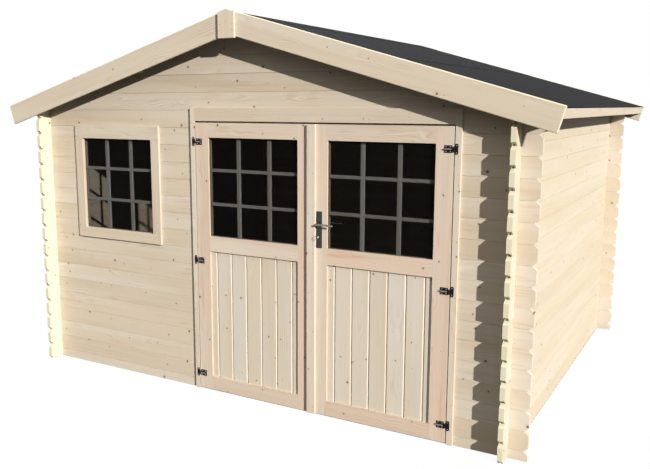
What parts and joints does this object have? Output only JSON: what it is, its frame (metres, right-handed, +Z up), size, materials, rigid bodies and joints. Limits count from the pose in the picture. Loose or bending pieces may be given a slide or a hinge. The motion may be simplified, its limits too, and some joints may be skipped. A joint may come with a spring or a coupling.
{
  "type": "wooden garden shed",
  "caption": "Garden shed of interlocked pine logs with a felted low gable roof, a paned window and an outward pair of half-glazed doors with lever handle and key.",
  "frame": {"origin": "on the ground under the middle of the shed's box", "axes": "+X to the right seen from the front, the doors face -Y, +Z up"},
  "size_m": [3.9738, 3.1796, 2.4797],
  "materials": {
    "log_wood": "planed untreated pine",
    "trim_wood": "planed untreated pine",
    "roof_wood": "planed untreated pine",
    "door_wood": "planed untreated pine, a little pink",
    "panel_wood": "planed untreated pine, pale",
    "roof_felt": "mineral roofing felt",
    "glass": "clear glazing",
    "black_iron": "black coating",
    "handle_plate": "dark satin coating",
    "steel": "satin steel"
  },
  "bodies": {
    "shed": {"front_wall_below_window": "log_wood", "front_wall_left": "log_wood", "front_wall_middle": "log_wood", "front_wall_over_window": "log_wood", "front_wall_right": "log_wood", "front_gable": "log_wood", "back_wall": "log_wood", "back_gable": "log_wood", "left_wall": "log_wood", "right_wall": "log_wood", "ridge_beam": "roof_wood", "left_purlin": "roof_wood", "right_purlin": "roof_wood", "roof_deck_left": "roof_wood", "roof_deck_right": "roof_wood", "roof_felt_left": "roof_felt", "roof_felt_right": "roof_felt", "front_barge_left": "trim_wood", "front_barge_right": "trim_wood", "back_barge_left": "trim_wood", "back_barge_right": "trim_wood", "front_ridge_cover": "trim_wood", "back_ridge_cover": "trim_wood", "left_eaves_board": "trim_wood", "right_eaves_board": "trim_wood", "window_casing": "trim_wood", "window_frame": "trim_wood", "window_glass": "glass", "left_jamb": "trim_wood", "right_jamb": "trim_wood", "door_head": "trim_wood", "left_frame_hinges": "black_iron", "right_frame_hinges": "black_iron"},
    "left_door": {"left_door_frame": "door_wood", "left_door_panel": "panel_wood", "left_door_glass": "glass", "left_leaf_hinges": "black_iron"},
    "right_door": {"right_door_frame": "door_wood", "right_door_panel": "panel_wood", "right_door_glass": "glass", "right_leaf_hinges": "black_iron", "meeting_strip": "trim_wood", "handle_plates": "handle_plate", "key": "steel"},
    "lever": {"lever_handle": "steel"}
  },
  "joints": [
    {"name": "left_door_swing", "type": "hinge", "parent": "shed", "child": "left_door", "pos_m": [-0.3585, -1.46, 0.897], "axis": [0, 0, -1], "range_deg": [0, 160]},
    {"name": "right_door_swing", "type": "hinge", "parent": "shed", "child": "right_door", "pos_m": [1.3945, -1.46, 0.897], "axis": [0, 0, 1], "range_deg": [0, 160]},
    {"name": "lever_turn", "type": "hinge", "parent": "right_door", "child": "lever", "pos_m": [0.5669, -1.435, 1.211], "axis": [0, 1, 0], "range_deg": [0, 40], "stiffness_Nm_per_rad": 1, "springref_deg": -17.19}
  ]
}
